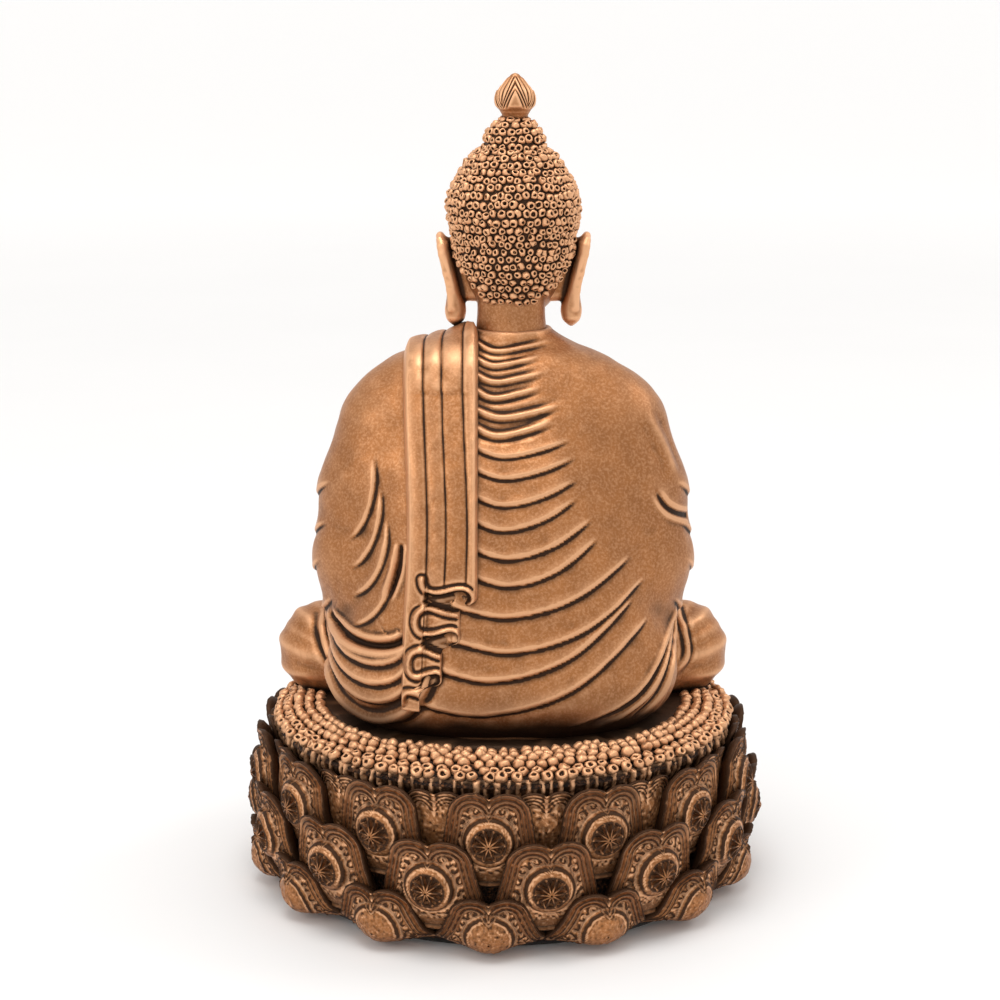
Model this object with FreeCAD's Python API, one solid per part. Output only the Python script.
"""Seated meditation figure on a round lotus throne: a small cast shelf statue, in millimetres.

The statue stands on its felt pad at z = 0, with the axis of the round throne on +Z. The figure faces -Y,
and its left side is +X. Nothing moves: the throne is stacked on a core, and the figure is pegged onto it.
"""
import FreeCAD, Part
import math
import os

from FreeCAD import Matrix, Vector

# ---- driving dimensions -------------------------------------------------------------------------------
STATUE_HEIGHT = 220.0          # felt to the tip of the finial
PETAL_COUNT = 14               # petals in each tier of the lotus
PETAL_TURN = -3.0              # degrees from the middle of the back to the nearest upper petal
PETAL_THICKNESS = 2.0
PETAL_CUSP = 1.4               # depth of the notch between a petal's two lobes
PETAL_LOBE = 0.575             # place of a lobe's crest, as a share of the half width

PAD_RADIUS = 57.0
PAD_THICKNESS = 1.2
SEAT_RADIUS = 62.4             # edge of the domed seat plate
SEAT_TOP_Z = 48.5              # flat middle of the plate, where the figure sits
SEAT_UNDERSIDE_Z = 44.4
CORE_TOP_Z = 43.2
STAMEN_RADIUS = 60.4
STAMEN_WALL = 3.0
STAMEN_FOOT_Z = 34.0

BEAD_ROWS = 5
BEAD_RADIUS = 1.45
BEAD_PITCH = 2.95              # from row to row, along the dome of the plate
BEAD_RIM = (62.1, 46.9)        # radius and height of the outermost row's middle
BEAD_SUNK = 0.85               # from a row's middle down to the plate
RIM_SLOPE = 24.0               # degrees at the outermost row, easing to level near the innermost

PEG_RADIUS = 2.0
PEG_SPACING = 30.0
PEG_DEPTH = 10.0               # in each of the two pieces that a peg joins

CROWN_CENTRE = Vector(-2.8, -3.5, 185.0)     # the skull above the ears, hair included
CROWN_RADII = Vector(18.0, 19.5, 16.5)
NAPE_CENTRE = Vector(-2.8, -2.5, 174.0)      # the head below them, hair included
NAPE_RADII = Vector(16.4, 16.5, 17.0)
HAIR_THICKNESS = 2.0
NECK_RADIUS = 9.4
NECK_TOP_Z = 164.0
NECK_BASE_Z = 148.5
FINIAL_BASE_Z = 209.0
FINIAL_AXIS = (-3.2, -3.0)     # the bud leans a little off the head's axis
FINIAL_TENON_Z = 204.0
USHNISHA_CENTRE = Vector(-3.0, -3.0, 200.0)
USHNISHA_RADII = Vector(9.2, 9.2, 9.6)
NECK_AXIS = (-2.2, -1.5)
NECK_TAPER = 0.6

BASE_THICKNESS = 5.0
BASE_SUNK = 2.0                # from the seat down to the underside of the figure's foot

SHAWL_WIDTH = 20.0
SHAWL_INNER_X = 6.5
SHAWL_DEPTH = Vector(0, -14, -6)      # from the shawl's outer curve into the robe

PALM = (12.0, 14.8, 5.0)       # length, width and thickness
PALM_ROUNDING = 2.2
PALM_X = 9.0                   # from the middle of the lap to the middle of a palm
PALM_OUTER_Y = -43.0
FINGER_RADIUS = 1.6
FINGER_PITCH = 3.4
FINGER_FIRST_Y = -30.4
FINGER_ROOT_X = 6.0
LONGEST_FINGER = 1.4           # counted from the first, so that the second and third are longest
FINGER_REACH = 15.0
FINGER_STEP = 1.8              # how much shorter each finger is beside the longest
THUMB_TIP = (1.9, -27.0, 72.0, 1.5)
LEFT_HAND_Z = 62.4
RIGHT_HAND_Z = 66.6

CLEAR = 0.15                   # gap between curved neighbours


# ---- shape helpers ------------------------------------------------------------------------------------
def ellipsoid(centre, radii):
    """A closed ellipsoid with its axes along X, Y and Z."""
    stretch = Matrix()
    stretch.scale(radii)
    shape = Part.makeSphere(1.0).transformGeometry(stretch)
    shape.translate(centre)
    return shape


def revolved(outline):
    """A solid of revolution about +Z from (radius, z) points."""
    points = [Vector(radius, 0, z) for radius, z in outline]
    face = Part.Face(Part.makePolygon(points + points[:1]))
    return face.revolve(Vector(0, 0, 0), Vector(0, 0, 1), 360)


def smooth_revolved(outside, inside):
    """A turned shell between two smooth (radius, z) curves, closed by straight lips at both ends."""
    outer = Part.BSplineCurve()
    outer.interpolate([Vector(radius, 0, z) for radius, z in outside])
    inner = Part.BSplineCurve()
    inner.interpolate([Vector(radius, 0, z) for radius, z in inside])
    foot = Part.makeLine(outer.StartPoint, inner.StartPoint)
    lip = Part.makeLine(outer.EndPoint, inner.EndPoint)
    wire = Part.Wire(Part.__sortEdges__([outer.toShape(), lip, inner.toShape(), foot]))
    return Part.Face(wire).revolve(Vector(0, 0, 0), Vector(0, 0, 1), 360)


def ellipse_wire(z, centre_y, half_width, half_depth, centre_x=0.0):
    """A horizontal ellipse, for a body section."""
    middle = Vector(centre_x, centre_y, z)
    if half_width >= half_depth:
        curve = Part.Ellipse(middle + Vector(half_width, 0, 0), middle + Vector(0, half_depth, 0), middle)
    else:
        curve = Part.Ellipse(middle + Vector(0, half_depth, 0), middle + Vector(-half_width, 0, 0), middle)
    return Part.Wire(curve.toShape())


def body_loft(sections):
    """A smooth solid through horizontal ellipses."""
    return Part.makeLoft([ellipse_wire(*section) for section in sections], True, False)


def limb(joints):
    """Spheres joined by tapered runs: joints are (x, y, z, radius)."""
    pieces = []
    for x, y, z, radius in joints:
        pieces.append(Part.makeSphere(radius, Vector(x, y, z)))
    for start, end in zip(joints, joints[1:]):
        pieces.append(tapered_run(start, end))
    return pieces[0].fuse(pieces[1:]).removeSplitter()


def tapered_run(start, end):
    """The cone that touches two spheres all round, given as (x, y, z, radius)."""
    first = Vector(*start[:3])
    second = Vector(*end[:3])
    along = second - first
    span = along.Length
    direction = along.normalize()
    slope = (start[3] - end[3]) / span
    squeeze = math.sqrt(1.0 - slope * slope)
    base = first + direction * (start[3] * slope)
    top = second + direction * (end[3] * slope)
    length = (top - base).Length
    if abs(slope) < 1e-6:
        return Part.makeCylinder(start[3], length, base, direction)
    return Part.makeCone(start[3] * squeeze, end[3] * squeeze, length, base, direction)


def mirrored(joints):
    """The same limb on the other side of the figure."""
    return [(-x, y, z, radius) for x, y, z, radius in joints]


def prism(outline, start_y, end_y):
    """A closed (x, z) outline pushed through from start_y to end_y."""
    points = [Vector(x, start_y, z) for x, z in outline]
    face = Part.Face(Part.makePolygon(points + points[:1]))
    return face.extrude(Vector(0, end_y - start_y, 0))


def without(shape, *neighbours):
    """The shape's largest solid once its neighbours are cut away."""
    rest = shape.cut(list(neighbours))
    return max(rest.Solids, key=lambda solid: solid.Volume)


def around_throne(shape, first_angle, count=PETAL_COUNT):
    """Separate copies of a shape, evenly spaced about the throne's axis."""
    copies = []
    for index in range(count):
        copy = shape.copy()
        copy.rotate(Vector(0, 0, 0), Vector(0, 0, 1), first_angle + index * 360.0 / count)
        copies.append(copy)
    return Part.makeCompound(copies)


# ---- the throne ---------------------------------------------------------------------------------------
def felt_pad():
    return Part.makeCylinder(PAD_RADIUS, PAD_THICKNESS)


def throne_core():
    return revolved([
        (0, PAD_THICKNESS), (57.5, PAD_THICKNESS), (60.0, 6.0), (61.0, 14.0), (60.0, 24.0),
        (57.2, STAMEN_FOOT_Z), (57.2, CORE_TOP_Z), (0, CORE_TOP_Z)])


def stamen_ring():
    inner = STAMEN_RADIUS - STAMEN_WALL
    return revolved([
        (inner, STAMEN_FOOT_Z), (STAMEN_RADIUS, STAMEN_FOOT_Z),
        (STAMEN_RADIUS, SEAT_UNDERSIDE_Z), (inner, SEAT_UNDERSIDE_Z)])


def seat_plate():
    """A shallow dome with a flat middle, in a rebate over the core and the stamen ring."""
    inner = STAMEN_RADIUS - STAMEN_WALL
    dome = [(radius, z - BEAD_SUNK) for radius, z in bead_circles()]
    return revolved([
        (0, CORE_TOP_Z), (inner - CLEAR, CORE_TOP_Z), (inner - CLEAR, SEAT_UNDERSIDE_Z),
        (SEAT_RADIUS, SEAT_UNDERSIDE_Z)] + dome + [(dome[-1][0] - BEAD_PITCH, SEAT_TOP_Z), (0, SEAT_TOP_Z)])


def bead_circles():
    """Radius and height of each row's middle, from the rim inward, over a dome that eases to level."""
    radius, z = BEAD_RIM
    circles = []
    for row in range(BEAD_ROWS):
        circles.append((radius, z))
        slope = math.radians(RIM_SLOPE) * max(0.0, 1.0 - row / (BEAD_ROWS - 2.0))
        radius -= BEAD_PITCH * math.cos(slope)
        z += BEAD_PITCH * math.sin(slope)
    return circles


def bead_row(radius, z):
    """One ring of beading: a round cord half sunk in a seat of its own on the plate."""
    return Part.makeTorus(radius, BEAD_RADIUS, Vector(0, 0, z))


def petal_outline(width, foot, foot_z, shoulder_z, crest_z):
    """A broad petal seen from outside: narrow foot, round shoulders and two lobes with a cusp."""
    half = width / 2.0
    lobe = half * PETAL_LOBE
    cusp = Vector(0, 0, crest_z - PETAL_CUSP)
    right = Part.Arc(Vector(half, 0, shoulder_z), Vector(lobe, 0, crest_z), cusp)
    left = Part.Arc(cusp, Vector(-lobe, 0, crest_z), Vector(-half, 0, shoulder_z))
    foot_right = Vector(foot / 2.0, 0, foot_z)
    foot_left = Vector(-foot / 2.0, 0, foot_z)
    edges = [
        right.toShape(),
        left.toShape(),
        Part.makeLine(Vector(-half, 0, shoulder_z), foot_left),
        Part.makeLine(foot_left, foot_right),
        Part.makeLine(foot_right, Vector(half, 0, shoulder_z))]
    return Part.Wire(Part.__sortEdges__(edges))


def petal(shell, width, foot, foot_z, shoulder_z, crest_z):
    """One petal of a tier: its outline cut out of the tier's turned shell, on the +Y side."""
    cutter = Part.Face(petal_outline(width, foot, foot_z, shoulder_z, crest_z)).extrude(Vector(0, 90, 0))
    piece = shell.common(cutter)
    return max(piece.Solids, key=lambda solid: solid.Volume)


def tier_shell(outside):
    """The turned shell that a tier's petals are cut from: (radius, z) points of its outer face."""
    inside = [(radius - PETAL_THICKNESS, z) for radius, z in outside]
    return smooth_revolved(outside, inside)


def petal_tiers():
    """Lower, middle, upper and inner tiers. Each is cut clear of the tier outside it."""
    core = throne_core()
    lower_shell = tier_shell([(61.5, 1.6), (66.0, 7.0), (70.2, 14.0), (71.6, 20.0)])
    middle_shell = tier_shell([(63.6, 7.0), (67.4, 14.0), (71.4, 21.0), (72.5, 27.0), (71.6, 34.0)])
    upper_shell = tier_shell([(62.6, 18.0), (66.6, 26.0), (69.6, 33.0), (69.4, 40.0), (67.0, 46.0)])
    inner_shell = tier_shell([(63.4, 30.0), (64.6, 38.0), (64.0, 46.0)])
    middle_shell = middle_shell.cut(lower_shell)
    half_pitch = 180.0 / PETAL_COUNT
    lower = petal(lower_shell.cut(core), 28.6, 14.0, 1.5, 9.0, 18.6)
    middle = petal(middle_shell.cut(core), 29.2, 18.0, 8.0, 19.0, 32.6)
    upper = petal(upper_shell.cut([core, middle_shell, stamen_ring()]), 27.4, 17.0, 19.0, 32.5, 45.0)
    inner = petal(inner_shell.cut([upper_shell, stamen_ring()]), 13.0, 8.0, 31.0, 39.0, 44.2)
    return {
        "petals_lower": around_throne(lower, PETAL_TURN),
        "petals_middle": around_throne(middle, PETAL_TURN + half_pitch),
        "petals_upper": around_throne(upper, PETAL_TURN),
        "petals_inner": around_throne(inner, PETAL_TURN + half_pitch)}


def seat_pegs():
    """Two dowels that hold the figure on the throne."""
    pegs = []
    for side in (-1, 1):
        foot = Vector(side * PEG_SPACING / 2.0, 12.0, SEAT_TOP_Z - PEG_DEPTH)
        pegs.append(Part.makeCylinder(PEG_RADIUS, 2.0 * PEG_DEPTH, foot))
    return Part.makeCompound(pegs)


# ---- the figure ---------------------------------------------------------------------------------------
# Horizontal sections of the trunk: (z, centre y, half width, half depth).
TRUNK = [
    (SEAT_TOP_Z, 14.0, 33.0, 25.0), (62.0, 14.0, 34.0, 27.0), (80.0, 12.0, 31.0, 24.5),
    (100.0, 9.0, 31.5, 22.0), (120.0, 6.5, 33.5, 18.5), (134.0, 3.5, 30.0, 13.5),
    (142.0, 1.0, 22.0, 10.5), (148.5, -1.5, 10.4, 9.0)]

# The outer robe over the trunk, which stays open in front.
ROBE = [
    (SEAT_TOP_Z, 11.0, 39.0, 28.5), (61.0, 12.0, 42.5, 31.0), (80.0, 11.5, 40.0, 29.0),
    (100.0, 9.5, 39.5, 26.5), (120.0, 6.5, 40.0, 22.5), (134.0, 3.5, 37.0, 17.5),
    (142.0, 1.5, 31.0, 14.0), (147.0, 0.0, 22.0, 11.5),
    (149.0, -1.0, 13.0, 10.5)]

# The left limbs: (x, y, z, radius) at each joint. The right ones mirror them.
SLEEVE = [(31.4, 4.0, 128.5, 13.0), (38.6, 7.0, 88.0, 13.8), (38.4, 3.0, 77.5, 13.2)]
FOREARM = [(36.0, -4.0, 76.0, 11.0), (17.0, -27.0, 68.0, 7.0)]
THIGH = [(20.0, 12.0, 63.5, 12.4), (50.0, -14.0, 61.4, 12.9)]
SHIN = [(50.0, -14.0, 61.4, 12.9), (24.0, -36.0, 59.5, 9.6), (0.0, -42.0, 58.0, 8.0)]


def trunk():
    return body_loft(TRUNK)


def outer_robe(inner):
    """The robe's shell: open over the chest in a deep V and in front of the waist."""
    opening = prism([(-12, 150), (12, 150), (15, 132), (9, 100), (0, 88), (-9, 100), (-15, 132)], -60, -1)
    waist = prism([(-24, SEAT_TOP_Z), (24, SEAT_TOP_Z), (24, 92), (-24, 92)], -60, -6)
    return without(body_loft(ROBE), inner, opening, waist)


def figure_base():
    """The thin irregular foot of the figure, which laps over the beading."""
    outline = [
        Vector(0, 44.5, 0), Vector(25, 43.5, 0), Vector(38, 36, 0), Vector(48, 14, 0), Vector(58.6, -9, 0),
        Vector(57, -25, 0), Vector(40, -40, 0), Vector(18, -49, 0), Vector(0, -51, 0)]
    other_side = [Vector(-point.x, point.y, 0) for point in reversed(outline[1:-1])]
    curve = Part.BSplineCurve()
    curve.interpolate(outline + other_side, PeriodicFlag=True)
    slab = Part.Face(Part.Wire(curve.toShape())).extrude(Vector(0, 0, BASE_THICKNESS))
    slab.translate(Vector(0, 0, SEAT_TOP_Z - BASE_SUNK))
    return slab


def below_seat():
    """The space under the figure: everything lower than the plate and its beading."""
    depth = 20.0
    reach = SEAT_RADIUS + depth
    over_beads = [(radius, z + BEAD_RADIUS) for radius, z in bead_circles()]
    return revolved(
        [(0, SEAT_TOP_Z - depth), (reach, SEAT_TOP_Z - depth), (reach, BEAD_RIM[1])] + over_beads
        + [(over_beads[-1][0] - BEAD_PITCH, SEAT_TOP_Z), (0, SEAT_TOP_Z)])


def shawl(robe, inner):
    """The folded end of the robe, which hangs down the back from the left shoulder."""
    back = [
        (4.0, 147.5), (15.5, 140.0), (26.5, 124.0), (34.5, 101.0), (39.5, 80.0), (42.5, 64.0), (41.5, 57.0)]
    path = Part.BSplineCurve()
    path.interpolate([Vector(0, y, z) for y, z in back])
    outer = path.toShape()
    inside = outer.copy()
    inside.translate(SHAWL_DEPTH)
    ends = [Part.makeLine(outer.Vertexes[index].Point, inside.Vertexes[index].Point) for index in (0, 1)]
    face = Part.Face(Part.Wire(Part.__sortEdges__([outer, ends[1], inside, ends[0]])))
    face.translate(Vector(SHAWL_INNER_X, 0, 0))
    strip = face.extrude(Vector(SHAWL_WIDTH, 0, 0))
    return without(strip, robe, inner)


def front_hem():
    """The fan of robe that is spread on the seat in front of the crossed shins."""
    return ellipsoid(Vector(0, -43, SEAT_TOP_Z + 1.5), Vector(26, 11.5, 4.4))


def head():
    """The face and skull under the hair, with a rounder jaw below."""
    under_hair = Vector(HAIR_THICKNESS, HAIR_THICKNESS, HAIR_THICKNESS)
    skull = ellipsoid(CROWN_CENTRE, CROWN_RADII - under_hair)
    lower = ellipsoid(NAPE_CENTRE, NAPE_RADII - under_hair)
    jaw = ellipsoid(NAPE_CENTRE + Vector(0, -5.5, -2.0), Vector(13.4, 13.6, 16.0))
    return skull.fuse([lower, jaw])


def hair_cap(skull):
    """The cap of hair: it covers the skull, and stops at the forehead, the ears and the nape."""
    outer = ellipsoid(CROWN_CENTRE, CROWN_RADII).fuse(ellipsoid(NAPE_CENTRE, NAPE_RADII))
    face_side = Part.makeBox(60, 40, 60, CROWN_CENTRE + Vector(-30, -46.0, -55.0))
    below = Part.makeBox(60, 60, 30, CROWN_CENTRE + Vector(-30, -30, -57.0))
    return without(outer, skull, face_side, below)


def ushnisha(skull, cap):
    """The round swelling on top of the head."""
    return without(ellipsoid(USHNISHA_CENTRE, USHNISHA_RADII), cap, skull)


def finial():
    """The lotus bud on top, with a tenon that sets into the hair."""
    bud = [(2.1, FINIAL_TENON_Z), (2.1, FINIAL_BASE_Z), (3.6, FINIAL_BASE_Z + 0.6),
           (5.2, FINIAL_BASE_Z + 4.2), (4.4, FINIAL_BASE_Z + 6.8), (2.0, FINIAL_BASE_Z + 9.2)]
    shape = revolved([(0, FINIAL_TENON_Z)] + bud + [(0, STATUE_HEIGHT)])
    shape.translate(Vector(*FINIAL_AXIS, 0))
    return shape


def ear(side):
    """One long ear, with the hanging lobe."""
    top = Vector(CROWN_CENTRE.x + side * 17.6, -5.0, 170.0)
    lobe = Vector(CROWN_CENTRE.x + side * 14.6, -5.5, 158.6)
    upper = ellipsoid(top, Vector(2.6, 4.8, 6.6))
    lower = ellipsoid(lobe, Vector(2.4, 3.6, 5.4))
    middle = limb([(top.x, top.y, top.z, 2.3), (lobe.x, lobe.y, lobe.z, 2.0)])
    return upper.fuse([lower, middle])


def neck():
    base = Vector(*NECK_AXIS, NECK_BASE_Z)
    return Part.makeCone(NECK_RADIUS + NECK_TAPER, NECK_RADIUS - NECK_TAPER, NECK_TOP_Z - NECK_BASE_Z, base)


def neck_peg():
    """The dowel that locates the head on the trunk."""
    foot = Vector(*NECK_AXIS, NECK_BASE_Z - PEG_DEPTH)
    return Part.makeCylinder(PEG_RADIUS, NECK_TOP_Z - NECK_BASE_Z + 2.0 * PEG_DEPTH, foot)


def collar_band(side, robe, inner):
    """The rolled front edge of the robe, from the neck down to the waist."""
    joints = [(side * 9.0, -9.5, 146.0, 1.6), (side * 14.5, -13.0, 132.0, 1.8),
              (side * 9.5, -17.5, 100.0, 1.8), (side * 2.2, -17.0, 90.0, 1.6)]
    return without(limb(joints), robe, inner)


def hand(side, z):
    """A hand laid in the lap, palm up: fingers to the other side, and the thumb raised to the middle."""
    length, width, thickness = PALM
    corner = Vector(side * PALM_X - length / 2.0, PALM_OUTER_Y, z - thickness / 2.0)
    palm = Part.makeBox(length, width, thickness, corner)
    palm = palm.makeFillet(PALM_ROUNDING, palm.Edges)
    digits = []
    for finger in range(4):
        reach = FINGER_REACH - abs(finger - LONGEST_FINGER) * FINGER_STEP + FINGER_ROOT_X
        start = Vector(side * FINGER_ROOT_X, FINGER_FIRST_Y - FINGER_PITCH * finger, z)
        digits.append(Part.makeCylinder(FINGER_RADIUS, reach, start, Vector(-side, 0, 0)))
        digits.append(Part.makeSphere(FINGER_RADIUS, start + Vector(-side * reach, 0, 0)))
    tip_x, tip_y, tip_z, tip_radius = THUMB_TIP
    thumb_root = (side * (PALM_X + 0.5), -27.6, z + 0.5, 2.0)
    digits.append(limb([thumb_root, (side * tip_x, tip_y, tip_z, tip_radius)]))
    return palm.fuse(digits)


def foot(side):
    """A foot drawn up on the opposite thigh, sole up."""
    return limb([
        (side * 21.0, -31.0, 69.5, 5.0), (side * 34.0, -22.0, 74.0, 4.2), (side * 40.0, -17.0, 75.0, 2.6)])


def build():
    """Every piece of the statue, hardest first, so that the softer shapes are cut to fit round them."""
    nodes = {"felt_pad": felt_pad(), "stamen_ring": stamen_ring()}
    nodes.update(petal_tiers())
    pegs = seat_pegs()
    nodes["seat_pegs"] = pegs
    nodes["throne_core"] = throne_core().cut(pegs)
    rows = [bead_row(radius, z) for radius, z in bead_circles()]
    for row, ring in enumerate(rows):
        nodes["bead_row_%d" % (row + 1)] = ring
    nodes["seat_plate"] = seat_plate().cut(rows + [pegs])

    base = without(figure_base(), nodes["seat_plate"], *rows)
    neck_dowel = neck_peg()
    body = trunk()
    robe = outer_robe(body)
    nodes["neck_peg"] = neck_dowel
    nodes["figure_base"] = without(base, pegs)
    floor = [nodes["figure_base"], below_seat()]
    nodes["torso"] = without(body, pegs, neck_dowel, *floor)
    nodes["outer_robe"] = without(robe, *floor)
    nodes["shawl"] = without(shawl(robe, body), *floor)
    core_parts = [nodes["outer_robe"], body]

    sleeves = {"left": limb(SLEEVE), "right": limb(mirrored(SLEEVE))}
    forearms = {"left": limb(FOREARM), "right": limb(mirrored(FOREARM))}
    thighs = {"left": limb(THIGH), "right": limb(mirrored(THIGH))}
    shins = {"left": limb(SHIN), "right": limb(mirrored(SHIN))}
    legs = {side: thighs[side].fuse(shins[side]) for side in thighs}
    arms = {side: sleeves[side].fuse(forearms[side]) for side in sleeves}
    for side in ("left", "right"):
        nodes["arm_%s" % side] = without(arms[side], *core_parts)
    arm_parts = [nodes["arm_left"], nodes["arm_right"]]
    nodes["hand_left"] = without(hand(1, LEFT_HAND_Z), *(core_parts + arm_parts))
    nodes["hand_right"] = without(hand(-1, RIGHT_HAND_Z), nodes["hand_left"], *(core_parts + arm_parts))
    hands = [nodes["hand_left"], nodes["hand_right"]]
    nodes["foot_right"] = without(foot(1), *(core_parts + arm_parts + hands))
    around_legs = core_parts + arm_parts + hands + floor + [nodes["foot_right"]]
    nodes["leg_right"] = without(legs["right"], *around_legs)
    nodes["leg_left"] = without(legs["left"], nodes["leg_right"], *around_legs)
    leg_parts = [nodes["leg_left"], nodes["leg_right"]]
    nodes["front_hem"] = without(front_hem(), *(floor + leg_parts))
    for name, side in (("collar_left", 1), ("collar_right", -1)):
        nodes[name] = without(collar_band(side, robe, body), *arm_parts)

    skull = head()
    cap = hair_cap(skull)
    throat = neck()
    nodes["head"] = without(skull, neck_dowel)
    nodes["neck"] = without(throat, skull, cap, body, robe, neck_dowel)
    nodes["hair_cap"] = cap
    bud = finial()
    nodes["finial"] = bud
    nodes["ushnisha"] = without(ushnisha(skull, cap), bud)
    for name, side in (("ear_left", 1), ("ear_right", -1)):
        nodes[name] = without(ear(side), skull, cap)
    return nodes


def main():
    os.makedirs("parts", exist_ok=True)
    for name, shape in build().items():
        shape.exportStep(os.path.join("parts", name + ".step"))
        facts = (name, len(shape.Solids), shape.Volume, shape.isValid())
        print("%-14s solids %3d volume %9.1f valid %s" % facts)


main()
